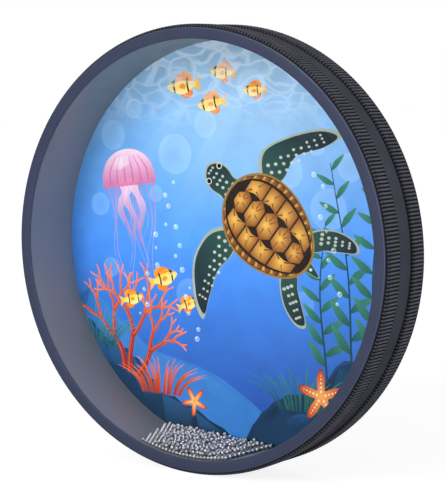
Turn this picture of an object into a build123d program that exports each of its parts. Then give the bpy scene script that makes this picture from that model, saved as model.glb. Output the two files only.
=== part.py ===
"""Ocean drum: a shallow round frame drum with loose steel beads between two film heads.

The drum stands on its rim. Its axis runs along Y, the clear head faces -Y and the printed head
faces +Y. The origin is under the drum, at the bottom of its ribbed bands. Sizes are in millimetres.
"""
from build123d import *
from itertools import product
import math
import os

# Shell
opening_diameter = 237.4
shell_wall = 6.2
shell_depth = 38.0

# Film heads, with the tape that bonds each one to its rim ring
film_thickness = 0.25
film_edge_margin = 0.5
tape_thickness = 0.15
tape_width = 4.5

# Rim rings
rim_thickness = 1.6
rim_overhang = 0.2
rim_edge_radius = 0.8
rim_inner_chamfer = 0.35

# Ribbed bands
band_width = 12.55
band_base = 1.25
band_clearance = 0.05
band_setback = 0.15
band_end_slope = 1.2
rib_height = 0.8
rib_count = 376
rib_crest_share = 0.46
rib_valley_share = 0.20

# Smooth wrap between the bands
wrap_thickness = 0.8
wrap_clearance = 0.05
wrap_edge_gap = 0.8

# Beads
bead_diameter = 2.4
bead_gap = 0.05
bead_wall_gap = 0.12
heaped_bead_count = 540
pile_level = -112.6
pile_slope_across = -0.06
pile_slope_back = 0.07

# Settling of the heaped beads: the uneven places that they start from, and the passes until they rest
pour_width = 86.0
pour_height = 12.0
pour_strides = (0.8191725, 0.6710436, 0.5497005)
first_sink = 0.05
sinking_passes = 200
resting_passes = 150

# Sizes that follow from those above
shell_inner_radius = opening_diameter / 2
shell_outer_radius = shell_inner_radius + shell_wall
film_radius = shell_outer_radius - film_edge_margin
rim_outer_radius = shell_outer_radius + rim_overhang
band_inner_radius = shell_outer_radius + band_clearance
valley_radius = band_inner_radius + band_base
overall_radius = valley_radius + rib_height
head_stack = film_thickness + tape_thickness + rim_thickness
overall_depth = shell_depth + 2 * head_stack
front_face = -overall_depth / 2
rim_back = front_face + rim_thickness
tape_back = rim_back + tape_thickness
shell_front = -shell_depth / 2
band_front = rim_back + band_setback
band_back = band_front + band_width
wrap_front = band_back + wrap_edge_gap
bead_radius = bead_diameter / 2
bead_spacing = bead_diameter + bead_gap
bead_floor_radius = shell_inner_radius - bead_wall_gap - bead_radius
bead_half_span = shell_depth / 2 - bead_wall_gap - bead_radius


def on_drum_axis(shape):
    """Stand a shape that was turned about Z on its rim, with its axis along Y."""
    return Pos(0, 0, overall_radius) * Rot(X=-90) * shape


def turned(*section):
    """Turn a closed section, given as (radius, depth) corners, about the drum's axis."""
    return revolve(Plane.XZ * make_face(Polyline(*section, close=True)), Axis.Z)


def plain_ring(inner_radius, outer_radius, front, back):
    """A ring of rectangular section."""
    return turned(
        (inner_radius, front),
        (outer_radius, front),
        (outer_radius, back),
        (inner_radius, back),
    )


def disc(radius, front, back):
    """A flat round sheet."""
    return Pos(0, 0, (front + back) / 2) * Cylinder(radius, back - front)


def make_rim_ring():
    """The flat ring at the front, rounded outside and eased along its inner edge."""
    ring = plain_ring(shell_inner_radius, rim_outer_radius, front_face, rim_back)
    circles = ring.edges().filter_by(GeomType.CIRCLE).group_by(Axis.Z)[0]
    inner_edge, outer_edge = circles.sort_by(SortBy.RADIUS)
    ring = fillet(outer_edge, rim_edge_radius)
    edges = ring.edges().filter_by(GeomType.CIRCLE).group_by(Axis.Z)[0]
    return chamfer(edges.sort_by(SortBy.RADIUS)[0], rim_inner_chamfer)


def rib_outline():
    """The toothed outline of a ribbed band, seen along the drum's axis."""
    pitch = 2 * math.pi / rib_count
    crest_edge = pitch * rib_crest_share / 2
    valley_edge = pitch * (1 - rib_valley_share) / 2
    corners = []
    for rib in range(rib_count):
        middle = rib * pitch
        for offset, radius in (
            (-valley_edge, valley_radius),
            (-crest_edge, overall_radius),
            (crest_edge, overall_radius),
            (valley_edge, valley_radius),
        ):
            angle = middle + offset
            corners.append((radius * math.sin(angle), radius * math.cos(angle)))
    return Polyline(*corners, close=True)


def make_ribbed_band():
    """The front ribbed band: ribs along the axis that slope down to both edges of the band."""
    toothed = make_face(rib_outline()) - Circle(band_inner_radius)
    blank = extrude(Pos(0, 0, band_front) * toothed, band_width)
    reach = overall_radius + band_end_slope
    low = overall_radius - band_end_slope
    envelope = turned(
        (band_inner_radius, band_front),
        (low, band_front),
        (reach, band_front + 2 * band_end_slope),
        (reach, band_back - 2 * band_end_slope),
        (low, band_back),
        (band_inner_radius, band_back),
    )
    return blank & envelope


def make_wrap():
    """The smooth strip round the shell between the two bands."""
    inner = shell_outer_radius + wrap_clearance
    return plain_ring(inner, inner + wrap_thickness, wrap_front, -wrap_front)


def under_pile_top(x, height, depth):
    """Whether a bead's centre lies under the pile's flat and slightly sloping top."""
    return height <= pile_level + pile_slope_across * x + pile_slope_back * depth


def beads_along_shell():
    """Centres of the beads that lie on the shell, in close rows round it.

    Each centre is [x, height over the axis, depth].
    """
    rows = int(2 * bead_half_span / bead_spacing) + 1
    row_step = 2 * bead_half_span / (rows - 1)
    turn = 2 * math.asin(bead_spacing / (2 * bead_floor_radius))
    reach = int(bead_floor_radius / bead_spacing)
    centres = []
    for row in range(rows):
        depth = row * row_step - bead_half_span
        for column in range(-reach, reach + 1):
            angle = (column + row % 2 / 2) * turn
            x = bead_floor_radius * math.sin(angle)
            height = -bead_floor_radius * math.cos(angle)
            if under_pile_top(x, height, depth):
                centres.append([x, height, depth])
    return centres


def poured_beads():
    """Uneven places under the pile's top from which the heaped beads settle."""
    centres = []
    turn = 0
    while len(centres) < heaped_bead_count:
        turn += 1
        across, up, along = (turn * stride % 1 for stride in pour_strides)
        x = (across - 0.5) * pour_width
        height = up * pour_height - bead_floor_radius
        depth = (2 * along - 1) * bead_half_span
        off_shell = math.hypot(x, height) < bead_floor_radius - bead_radius
        if off_shell and under_pile_top(x, height, depth):
            centres.append([x, height, depth])
    return centres


def part_two(bead, other, other_stays):
    """Push two beads that are too close apart, along the line through their centres."""
    distance = math.dist(bead, other)
    if distance >= bead_spacing:
        return
    push = (bead_spacing / distance - 1) / (1 if other_stays else 2)
    for axis in range(3):
        step = push * (bead[axis] - other[axis])
        bead[axis] += step
        if not other_stays:
            other[axis] -= step


def keep_inside(bead):
    """Bring a bead that has gone into the shell or a head back to touch it."""
    reach = math.hypot(bead[0], bead[1])
    if reach > bead_floor_radius:
        bead[0] *= bead_floor_radius / reach
        bead[1] *= bead_floor_radius / reach
    bead[2] = min(max(bead[2], -bead_half_span), bead_half_span)


def push_apart(resting, loose):
    """Move the loose beads off one another and off those that rest on the shell."""
    beads = resting + loose
    first_loose = len(resting)
    cells = {}
    for number, bead in enumerate(beads):
        cell = tuple(int(value // bead_spacing) for value in bead)
        cells.setdefault(cell, []).append(number)
    for (i, j, k), inside in cells.items():
        near = []
        for a, b, c in product((-1, 0, 1), repeat=3):
            near += cells.get((i + a, j + b, k + c), [])
        for one, other in product(inside, near):
            if one >= first_loose and (other < first_loose or other > one):
                part_two(beads[one], beads[other], other < first_loose)
    for bead in loose:
        keep_inside(bead)


def settled_heap(resting):
    """Centres of the beads heaped on the resting ones: they sink less and less, then come to rest."""
    loose = poured_beads()
    for number in range(sinking_passes + resting_passes):
        sink = first_sink * max(0, 1 - number / sinking_passes)
        for bead in loose:
            bead[0] += pile_slope_across * sink
            bead[1] -= sink
            bead[2] += pile_slope_back * sink
        push_apart(resting, loose)
    return loose


def make_beads(centres):
    """One loose ball at each centre."""
    ball = Sphere(bead_radius)
    balls = [Pos(x, depth, overall_radius + height) * ball for x, height, depth in centres]
    return Compound(children=balls)


def make_nodes():
    """Every piece of the drum, by name."""
    rim = on_drum_axis(make_rim_ring())
    tape = on_drum_axis(plain_ring(film_radius - tape_width, film_radius, rim_back, tape_back))
    film = on_drum_axis(disc(film_radius, tape_back, shell_front))
    band = on_drum_axis(make_ribbed_band())
    along_shell = beads_along_shell()
    return {
        "shell": on_drum_axis(plain_ring(shell_inner_radius, shell_outer_radius, shell_front, -shell_front)),
        "side_wrap": on_drum_axis(make_wrap()),
        "front_rim_ring": rim,
        "rear_rim_ring": mirror(rim, Plane.XZ),
        "front_head_tape": tape,
        "rear_head_tape": mirror(tape, Plane.XZ),
        "clear_front_head": film,
        "printed_rear_head": mirror(film, Plane.XZ),
        "front_ribbed_band": band,
        "rear_ribbed_band": mirror(band, Plane.XZ),
        "rim_beads": make_beads(along_shell),
        "heaped_beads": make_beads(settled_heap(along_shell)),
    }


os.makedirs("parts", exist_ok=True)
for name, shape in make_nodes().items():
    export_step(shape, f"parts/{name}.step")
    print(name, len(shape.solids()), "solids", round(shape.volume, 1), "mm3")
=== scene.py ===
"""Ocean drum: a round frame drum with a clear head, a printed head and loose steel beads between them.

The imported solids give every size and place. This file puts a finer piece with its own finish in the
place of each solid, paints a sea picture on the rear head and sets up a plain pale studio.
"""

import math
from collections import namedtuple
from itertools import pairwise

import bmesh
import bpy
import numpy as np
from bpy.props import FloatProperty, FloatVectorProperty, IntProperty, PointerProperty
from bpy.types import Operator, Panel, PropertyGroup
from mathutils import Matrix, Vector, geometry


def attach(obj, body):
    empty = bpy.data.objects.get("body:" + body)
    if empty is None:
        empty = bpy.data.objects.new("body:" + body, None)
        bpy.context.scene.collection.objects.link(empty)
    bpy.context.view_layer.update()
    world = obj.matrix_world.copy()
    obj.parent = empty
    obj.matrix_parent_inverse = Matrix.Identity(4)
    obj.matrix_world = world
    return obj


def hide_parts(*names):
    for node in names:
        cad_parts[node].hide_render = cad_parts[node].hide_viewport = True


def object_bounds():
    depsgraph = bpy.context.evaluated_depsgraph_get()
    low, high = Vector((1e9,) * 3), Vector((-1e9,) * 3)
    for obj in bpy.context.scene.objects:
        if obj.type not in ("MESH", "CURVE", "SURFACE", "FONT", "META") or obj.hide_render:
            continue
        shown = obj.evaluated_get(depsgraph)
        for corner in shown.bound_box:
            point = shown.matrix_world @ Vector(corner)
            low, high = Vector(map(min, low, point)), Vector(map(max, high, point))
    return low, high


bl_info = {
    "name": "Ocean Drum",
    "version": (1, 0, 0),
    "blender": (4, 5, 0),
    "location": "View3D > Sidebar > Ocean Drum",
    "description": "Builds the pieces, the finishes and the studio of an ocean drum",
    "category": "Object",
}

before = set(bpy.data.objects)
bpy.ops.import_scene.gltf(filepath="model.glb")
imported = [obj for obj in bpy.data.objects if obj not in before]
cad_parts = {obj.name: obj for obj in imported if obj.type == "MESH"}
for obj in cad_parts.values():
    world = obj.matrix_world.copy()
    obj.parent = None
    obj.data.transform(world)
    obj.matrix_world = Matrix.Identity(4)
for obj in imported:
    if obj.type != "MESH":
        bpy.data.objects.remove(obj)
CAD_LOW, CAD_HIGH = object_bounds()
AXIS_HEIGHT = (CAD_LOW.z + CAD_HIGH.z) / 2
MM = 0.001
FULL_TURN = 2 * math.pi

# Edges that turn by more degrees than this stay sharp
CREASE = 35
# Points closer than this count as touching
HAIR = 0.01 * MM
WHITE = (1, 1, 1)
BLACK = (0, 0, 0)

Ring = namedtuple("Ring", "inner outer front back")
Lamp = namedtuple("Lamp", "name place size in_gloss on_matte", defaults=(True, True))

# Soft lamps of the studio: each shows in gloss, falls on matte surfaces, or both
LAMPS = (
    Lamp("key", (2.70, -1.15, 0.50), 1.6),
    Lamp("fill", (-0.35, -1.30, 0.80), 0.6),
    Lamp("glint", (0.30, -0.45, 1.90), 0.18, on_matte=False),
    Lamp("bounce", (-0.10, -0.50, 0.03), 0.4, in_gloss=False),
)


def node_points(node):
    """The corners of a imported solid's mesh."""
    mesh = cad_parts[node].data
    points = np.empty(3 * len(mesh.vertices), dtype=np.float32)
    mesh.vertices.foreach_get("co", points)
    return points.reshape(-1, 3).astype(float)


def reach_of(points):
    """How far points lie from the drum's axis."""
    return np.hypot(points[:, 0], points[:, 2] - AXIS_HEIGHT)


def ring_of(node):
    """Inner and outer radius, front and back of a turned solid."""
    points = node_points(node)
    reach = reach_of(points)
    return Ring(reach.min(), reach.max(), points[:, 1].min(), points[:, 1].max())


def whole(name, description, default, least):
    """A whole number that a user may change."""
    return IntProperty(name=name, description=description, default=default, min=least)


def length(name, description, default):
    """A length that a user may change."""
    return FloatProperty(
        name=name,
        description=description,
        default=default,
        min=0,
        precision=5,
        unit="LENGTH",
        subtype="DISTANCE",
    )


def power(name, description, default):
    """The power of a lamp, which a user may change."""
    return FloatProperty(name=name, description=description, default=default, min=0, unit="POWER")


def position(name, description, default):
    """A place that a user may change."""
    return FloatVectorProperty(name=name, description=description, default=default, subtype="TRANSLATION")


def colour(name, description, default):
    """A display colour that a user may change."""
    return FloatVectorProperty(
        name=name, description=description, default=default, size=3, min=0, max=1, subtype="COLOR_GAMMA"
    )


def share(name, description, default):
    """A number from 0 to 1 that a user may change."""
    return FloatProperty(name=name, description=description, default=default, min=0, max=1, subtype="FACTOR")


class DrumSizes(PropertyGroup):
    """Sizes that the finer pieces add to those of the solids."""

    turned_steps: whole("Steps Round", "Steps round each turned piece", 288, 48)
    rib_count: whole("Ribs", "Ribs round each band", 376, 60)
    rib_steps: whole("Steps per Rib", "Points along the outline of one rib", 8, 4)
    rib_depth: length("Rib Depth", "From the crest of a rib down to the valley beside it", 0.8 * MM)
    band_ease: length("Band Edge", "Rounding of both outer edges of a band", 1.4 * MM)
    rim_ease: length("Rim Edge", "Rounding of the outer edge of a rim ring", 0.8 * MM)
    rim_inner_ease: length("Rim Inner Edge", "Rounding of the inner edge of a rim ring", 0.3 * MM)
    wrap_ease: length("Wrap Edge", "Rounding of the edges of the wrap", 0.25 * MM)
    wrap_crown: length("Wrap Crown", "How far the middle of the wrap stands over its edges", 0.12 * MM)
    shell_ease: length("Shell Edge", "Rounding of the edges of the shell", 0.25 * MM)
    picture_step: length("Picture Step", "Spacing of the points that carry soft shading", 2.6 * MM)


class DrumFinishes(PropertyGroup):
    """Colours and gloss of the drum's materials."""

    rim: colour("Rim Rings", "Satin navy plastic", (0.189, 0.213, 0.297))
    # The rim edge colour is a painted highlight on the rings' rounded outer edges and their openings
    rim_edge: colour("Rim Edge", "Rubbed edges of the rim rings", (0.345, 0.375, 0.465))
    shell: colour("Shell", "Smooth slate plastic", (0.465, 0.482, 0.508))
    wrap: colour("Side Wrap", "Dark grey plastic strip", (0.250, 0.262, 0.305))
    # The crest colour is a painted highlight on the ribs and the groove colour is painted shade between them,
    # both on one black rubber
    band: colour("Rib Crests", "Rubbed crests of the black rubber ribs", (0.374, 0.374, 0.418))
    groove_shade: colour("Rib Grooves", "Black rubber between the ribs", (0.085, 0.085, 0.098))
    tape: colour("Bonding Tape", "Pale tape under the rim rings", (0.860, 0.850, 0.820))
    steel: colour("Beads", "Polished steel", (0.710, 0.705, 0.712))
    film_gloss: share("Film Gloss", "Strength of the reflections on the clear head", 0.22)


class SeaPalette(PropertyGroup):
    """Colours of the sea picture on the rear head."""

    surface: colour("Surface", "Water under the surface", (0.600, 0.745, 0.855))
    shallow: colour("Shallow Water", "Water in the upper part", (0.428, 0.668, 0.900))
    open_water: colour("Open Water", "Water in the middle", (0.290, 0.585, 0.965))
    deep: colour("Deep Water", "Water at the bottom", (0.115, 0.300, 0.625))
    light: colour("Light", "Rays, ripples, discs and bubbles", (0.900, 0.965, 1.000))
    rock_dark: colour("Rock Shade", "Shaded side of the rocks", (0.050, 0.215, 0.345))
    rock_light: colour("Rock Light", "Lit side of the rocks", (0.150, 0.400, 0.640))
    kelp_dark: colour("Kelp Shade", "Stems and shaded leaves", (0.055, 0.270, 0.300))
    kelp_light: colour("Kelp Light", "Lit leaves", (0.250, 0.560, 0.440))
    coral_dark: colour("Coral Shade", "Foot of the branching coral", (0.560, 0.130, 0.105))
    coral_light: colour("Coral Light", "Tips of the branching coral", (0.960, 0.480, 0.260))
    scute_dark: colour("Scute Shade", "Edges of the turtle's scutes", (0.520, 0.270, 0.090))
    scute_light: colour("Scute Light", "Middles of the turtle's scutes", (0.960, 0.760, 0.340))
    seam: colour("Scute Seams", "Lines between the scutes", (0.130, 0.090, 0.070))
    skin_dark: colour("Skin Shade", "The turtle's skin", (0.085, 0.150, 0.190))
    skin_light: colour("Skin Light", "Plates and edges of that skin", (0.830, 0.860, 0.760))
    fish_body: colour("Fish Body", "Body of the small fish", (0.985, 0.800, 0.220))
    fish_back: colour("Fish Back", "Back and fins of the small fish", (0.930, 0.500, 0.130))
    fish_stripe: colour("Fish Stripe", "Stripes of the small fish", (0.080, 0.090, 0.140))
    jelly_light: colour("Jelly Light", "Top of the jellyfish", (0.985, 0.850, 0.900))
    jelly_dark: colour("Jelly Shade", "Edge and arms of the jellyfish", (0.830, 0.430, 0.600))
    star_dark: colour("Starfish Shade", "Edge of the starfish", (0.780, 0.280, 0.160))
    star_light: colour("Starfish Light", "Middle of the starfish", (0.990, 0.680, 0.330))


class StudioSetup(PropertyGroup):
    """Camera and light."""

    camera_place: position("Camera", "Where the camera stands", (0.5935, -0.8417, 0.2352))
    camera_aim: position("Aim", "Point that the camera looks at", (0.0224, -0.0210, 0.1294))
    lens: FloatProperty(name="Lens", description="Focal length", default=130.91, min=20, unit="CAMERA")
    sky: FloatProperty(name="Sky", description="Strength of the even light all round", default=0.36, min=0)
    key: power("Key", "Power of the soft light at the right", 55.0)
    fill: power("Fill", "Power of the soft light at the front", 9.5)
    bounce: power("Bounce", "Power of the soft light low at the front", 3.0)
    glint: power("Glint", "Power of the light that only gloss shows", 30.0)
    floor: colour("Floor", "Plain pale floor", (0.600, 0.600, 0.600))
    floor_lift: share("Floor Lift", "Light that the floor adds near the drum to look white", 0.83)
    far_lift: share("Far Floor Lift", "Light that the floor adds far from the drum to look white", 0.93)


def settings(name):
    """One group of the scene's settings."""
    return getattr(bpy.context.scene, "ocean_drum_" + name)


# Shapes


def eased(corners, steps=5):
    """A closed (radius, depth) section with each corner rounded by its own ease."""
    line = []
    for index, (radius, depth, ease) in enumerate(corners):
        here = Vector((radius, depth))
        if not ease:
            line.append(tuple(here))
            continue
        back = (Vector(corners[index - 1][:2]) - here).normalized()
        ahead = (Vector(corners[(index + 1) % len(corners)][:2]) - here).normalized()
        half = math.acos(max(-1, min(1, back.dot(ahead)))) / 2
        middle = here + (back + ahead).normalized() * (ease / math.sin(half))
        start = here + back * (ease / math.tan(half)) - middle
        end = here + ahead * (ease / math.tan(half)) - middle
        first = math.atan2(start.y, start.x)
        sweep = (math.atan2(end.y, end.x) - first + math.pi) % FULL_TURN - math.pi
        for step in range(steps + 1):
            angle = first + sweep * step / steps
            line.append((middle.x + ease * math.cos(angle), middle.y + ease * math.sin(angle)))
    return line


def loop_faces(rows, columns):
    """Four-sided faces over a grid of points whose rows and columns both run round to their start."""
    row, column = np.meshgrid(np.arange(rows), np.arange(columns), indexing="ij")
    after_row = (row + 1) % rows
    after_column = (column + 1) % columns
    corners = (
        row * columns + column,
        row * columns + after_column,
        after_row * columns + after_column,
        after_row * columns + column,
    )
    return np.stack(corners, axis=-1).reshape(-1, 4)


def turns_round(steps):
    """Even turns all the way round."""
    return np.linspace(0, FULL_TURN, steps, endpoint=False)


def round_the_axis(turns, radius, depth):
    """A section's points at each of these turns from the bottom of the drum."""
    x = np.sin(turns)[:, None] * radius
    z = AXIS_HEIGHT - np.cos(turns)[:, None] * radius
    return np.stack((x, np.broadcast_to(depth, x.shape), z), axis=-1).reshape(-1, 3)


def turned_shape(section):
    """Points and faces of a closed section turned about the drum's axis."""
    steps = settings("sizes").turned_steps
    radius, depth = np.array(section).T
    return round_the_axis(turns_round(steps), radius, depth), loop_faces(steps, len(radius))


def linked(name, data):
    """A new object in the scene."""
    made = bpy.data.objects.new(name, data)
    bpy.context.scene.collection.objects.link(made)
    return made


def smoothed(mesh, crease=CREASE):
    """Shade a mesh smooth but for edges that turn by more than the crease angle."""
    mesh.shade_smooth()
    mesh.set_sharp_from_angle(angle=math.radians(crease))


def carry(mesh, name, values, domain="POINT"):
    """Let a mesh carry one value at each of its points or corners."""
    mesh.attributes.new(name, "FLOAT", domain).data.foreach_set("value", values)


def new_piece(name, points, faces, crease=CREASE):
    """A smooth mesh object whose faces look outward."""
    mesh = bpy.data.meshes.new(name)
    mesh.from_pydata(points, [], faces)
    shaped = bmesh.new()
    shaped.from_mesh(mesh)
    bmesh.ops.recalc_face_normals(shaped, faces=shaped.faces)
    shaped.to_mesh(mesh)
    shaped.free()
    smoothed(mesh, crease)
    return linked(name, mesh)


def fit(piece, node, body, finish):
    """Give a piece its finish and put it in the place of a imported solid."""
    piece.data.materials.append(finish)
    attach(piece, body)
    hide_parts(node)


# Finishes


def linear(display_colour):
    """The light value of a display colour."""
    value = np.asarray(display_colour, float)
    return np.where(value <= 0.04045, value / 12.92, ((value + 0.055) / 1.055) ** 2.4)


def shader_colour(display_colour, gain=1.0):
    """A display colour as a shader's socket takes it."""
    return (*np.clip(linear(display_colour) * gain, 0, 1), 1.0)


class Finish:
    """A material with one main shader, and the nodes that vary it."""

    def __init__(self, name):
        self.material = bpy.data.materials.new(name)
        self.material.use_nodes = True
        self.tree = self.material.node_tree
        self.shader = self.tree.nodes["Principled BSDF"]
        self.place = self.tree.nodes.new("ShaderNodeTexCoord").outputs["Object"]

    def node(self, kind, **values):
        """A new node with these settings."""
        made = self.tree.nodes.new(kind)
        for key, value in values.items():
            setattr(made, key, value)
        return made

    def link(self, source, target):
        """Join two sockets."""
        self.tree.links.new(source, target)

    def feed(self, socket, given):
        """Join a socket to another one, or set it to a plain value."""
        if isinstance(given, bpy.types.NodeSocket):
            self.link(given, socket)
        else:
            socket.default_value = given

    def set(self, **values):
        """Feed sockets of the main shader, named with _ for a space."""
        for key, value in values.items():
            self.feed(self.shader.inputs[key.replace("_", " ")], value)

    def attribute(self, name, output="Fac"):
        """What the mesh carries under this name."""
        return self.node("ShaderNodeAttribute", attribute_name=name).outputs[output]

    def stretched(self, place, scale):
        """A place scaled along each axis."""
        made = self.node("ShaderNodeMapping")
        made.inputs["Scale"].default_value = scale
        self.link(place, made.inputs["Vector"])
        return made.outputs["Vector"]

    def noise(self, scale, detail=3.0, stretch=None, output="Fac"):
        """A cloudy value from about 0 to 1, with features of 1 / scale metres."""
        made = self.node("ShaderNodeTexNoise")
        made.inputs["Scale"].default_value = scale
        made.inputs["Detail"].default_value = detail
        self.link(self.stretched(self.place, stretch) if stretch else self.place, made.inputs["Vector"])
        return made.outputs[output]

    def span(self, value, low, high, start=0.3, end=0.7):
        """Spread a value between start and end over low to high."""
        made = self.node("ShaderNodeMapRange")
        for key, number in (("From Min", start), ("From Max", end), ("To Min", low), ("To Max", high)):
            made.inputs[key].default_value = number
        self.link(value, made.inputs["Value"])
        return made.outputs["Result"]

    def times(self, value, factor):
        """A value socket times a number or another socket."""
        made = self.node("ShaderNodeMath", operation="MULTIPLY")
        self.link(value, made.inputs[0])
        self.feed(made.inputs[1], factor)
        return made.outputs["Value"]

    def blend(self, factor, first, second):
        """Mix two colours, each a colour or a socket, by a factor socket."""
        made = self.node("ShaderNodeMix", data_type="RGBA")
        self.link(factor, made.inputs["Factor"])
        self.feed(made.inputs[6], first)
        self.feed(made.inputs[7], second)
        return made.outputs[2]

    def cloudy(self, low, high, scale, detail=3.0):
        """A value that varies between two numbers in clouds."""
        return self.span(self.noise(scale, detail), low, high)

    def mottled(self, display_colour, low, high, scale):
        """A colour that varies between two gains in clouds."""
        dark, light = (shader_colour(display_colour, gain) for gain in (low, high))
        return self.blend(self.cloudy(0, 1, scale), dark, light)

    def grain(self, scale, depth, strength, detail=2.0, stretch=None):
        """Fine bumps of a depth in metres."""
        made = self.node("ShaderNodeBump")
        made.inputs["Strength"].default_value = strength
        made.inputs["Distance"].default_value = depth
        self.link(self.noise(scale, detail, stretch), made.inputs["Height"])
        return made.outputs["Normal"]


def rim_finish():
    """Satin navy plastic with a fine moulded grain, and a painted highlight along its edges."""
    finish = Finish("navy_rim_plastic")
    colours = settings("finishes")
    # Painted highlight: the rings turn paler over their rounded edges and the faces of their openings
    highlight_mask = finish.span(finish.attribute("rim_edge"), 0.0, 0.9, 0.2, 0.8)
    navy = finish.mottled(colours.rim, 0.93, 1.07, 45)
    finish.set(
        Base_Color=finish.blend(highlight_mask, navy, shader_colour(colours.rim_edge)),
        Roughness=finish.cloudy(0.40, 0.52, 160),
        Normal=finish.grain(2600, 0.03 * MM, 0.35),
        Specular_IOR_Level=0.19,
    )
    return finish.material


def shell_finish():
    """Smooth slate plastic with a soft gloss."""
    finish = Finish("slate_shell_plastic")
    finish.set(
        Base_Color=finish.mottled(settings("finishes").shell, 0.94, 1.06, 28),
        Roughness=finish.cloudy(0.36, 0.44, 120),
        Normal=finish.grain(1900, 0.03 * MM, 0.2),
        Specular_IOR_Level=0.6,
    )
    return finish.material


def wrap_finish():
    """Dark grey strip with a soft sheen and a faint grain that is finer along the drum's axis."""
    finish = Finish("dark_wrap_plastic")
    finish.set(
        Base_Color=finish.mottled(settings("finishes").wrap, 0.88, 1.12, 60),
        Roughness=finish.cloudy(0.50, 0.62, 90),
        Normal=finish.grain(900, 0.04 * MM, 0.35, stretch=(1.0, 2.4, 1.0)),
        Specular_IOR_Level=0.12,
    )
    return finish.material


def band_finish():
    """Black moulded rubber, with a painted highlight on the crests of its ribs and painted shade in its
    grooves.
    """
    finish = Finish("black_band_rubber")
    colours = settings("finishes")
    # Painted highlight on the rib crests and painted shade in the grooves
    highlight_mask = finish.span(finish.attribute("rib_crest"), 0.0, 1.0, 0.25, 0.95)
    crest_highlight = finish.mottled(colours.band, 0.85, 1.15, 110)
    finish.set(
        Base_Color=finish.blend(highlight_mask, shader_colour(colours.groove_shade), crest_highlight),
        Roughness=finish.cloudy(0.46, 0.62, 240),
        Normal=finish.grain(3200, 0.02 * MM, 0.4),
        Specular_IOR_Level=0.04,
    )
    return finish.material


def tape_finish():
    """Pale bonding tape with a faint paper grain."""
    finish = Finish("pale_bonding_tape")
    finish.set(
        Base_Color=finish.mottled(settings("finishes").tape, 0.92, 1.04, 300),
        Roughness=finish.cloudy(0.55, 0.70, 200),
        Normal=finish.grain(2200, 0.02 * MM, 0.3, detail=3.0),
    )
    return finish.material


def steel_finish():
    """Polished steel balls, no two quite alike in tone."""
    finish = Finish("polished_bead_steel")
    steel = settings("finishes").steel
    each = finish.node("ShaderNodeNewGeometry").outputs["Random Per Island"]
    finish.set(
        Base_Color=finish.blend(each, shader_colour(steel, 0.80), shader_colour(steel, 1.0)),
        Roughness=finish.cloudy(0.28, 0.33, 700, 2.0),
        Metallic=0.82,
    )
    return finish.material


def film_finish():
    """Clear film: seen through, with weak reflections that grow towards a glancing view."""
    finish = Finish("clear_head_film")
    finish.tree.nodes.remove(finish.shader)
    seen_through = finish.node("ShaderNodeBsdfTransparent")
    seen_through.inputs["Color"].default_value = (0.985, 0.990, 0.995, 1.0)
    gloss = finish.node("ShaderNodeBsdfGlossy")
    finish.link(finish.cloudy(0.05, 0.10, 14, 2.0), gloss.inputs["Roughness"])
    edge = finish.node("ShaderNodeFresnel")
    edge.inputs["IOR"].default_value = 1.30
    both = finish.node("ShaderNodeMixShader")
    finish.link(finish.times(edge.outputs["Fac"], settings("finishes").film_gloss), both.inputs["Fac"])
    finish.link(seen_through.outputs["BSDF"], both.inputs[1])
    finish.link(gloss.outputs["BSDF"], both.inputs[2])
    finish.link(both.outputs["Shader"], finish.tree.nodes["Material Output"].inputs["Surface"])
    return finish.material


def print_finish():
    """Printed film: the painted colours, with ripples of light where the picture has its surface."""
    finish = Finish("printed_head_film")
    warp, cells_per_metre, line_width = 0.022, (70, 0, 150), 0.16
    warped = finish.node("ShaderNodeVectorMath", operation="MULTIPLY_ADD")
    warped.inputs[1].default_value = (warp, warp, warp)
    finish.link(finish.noise(42, 2.0, output="Color"), warped.inputs[0])
    finish.link(finish.place, warped.inputs[2])
    cells = finish.node("ShaderNodeTexVoronoi", feature="DISTANCE_TO_EDGE")
    cells.inputs["Scale"].default_value = 1.0
    finish.link(finish.stretched(warped.outputs["Vector"], cells_per_metre), cells.inputs["Vector"])
    lines = finish.span(cells.outputs["Distance"], 1.0, 0.0, 0.0, line_width)
    ripple = finish.times(lines, finish.attribute("print_ripple"))
    painted = finish.attribute("print_colour", "Color")
    tone = finish.node("ShaderNodeHueSaturation")
    finish.link(finish.cloudy(0.94, 1.06, 90, 4.0), tone.inputs["Value"])
    finish.link(finish.blend(ripple, painted, shader_colour(settings("palette").light)), tone.inputs["Color"])
    finish.set(
        Base_Color=tone.outputs["Color"],
        Roughness=finish.cloudy(0.34, 0.46, 60),
        Normal=finish.grain(420, 0.03 * MM, 0.2),
        Specular_IOR_Level=0.28,
    )
    return finish.material


# Sea picture, in millimetres from the middle of the head as it is seen through the clear head


def between(first, second, amount):
    """What lies between two colours, places or numbers, by a share of the way."""
    return np.asarray(first) + (np.asarray(second) - np.asarray(first)) * amount


def heading(turn):
    """A step of length 1 at a turn in degrees, anticlockwise from the right."""
    angle = math.radians(turn)
    return np.array((math.cos(angle), math.sin(angle)))


def beside(way):
    """A step turned to its left by a quarter turn."""
    return np.array((-way[1], way[0]))


def smooth_line(points, spans=6, closed=True):
    """A smooth line through points."""
    points = np.asarray(points, float)
    if closed:
        before, after, later = (np.roll(points, step, axis=0) for step in (1, -1, -2))
    else:
        padded = np.vstack((2 * points[0] - points[1], points, 2 * points[-1] - points[-2]))
        before, points, after, later = padded[:-3], padded[1:-2], padded[2:-1], padded[3:]
    along = np.arange(spans)[:, None, None] / spans
    line = 0.5 * (
        2 * points
        + (after - before) * along
        + (2 * before - 5 * points + 4 * after - later) * along**2
        + (3 * points - before - 3 * after + later) * along**3
    )
    line = line.transpose(1, 0, 2).reshape(-1, 2)
    return line if closed else np.vstack((line, after[-1]))


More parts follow.
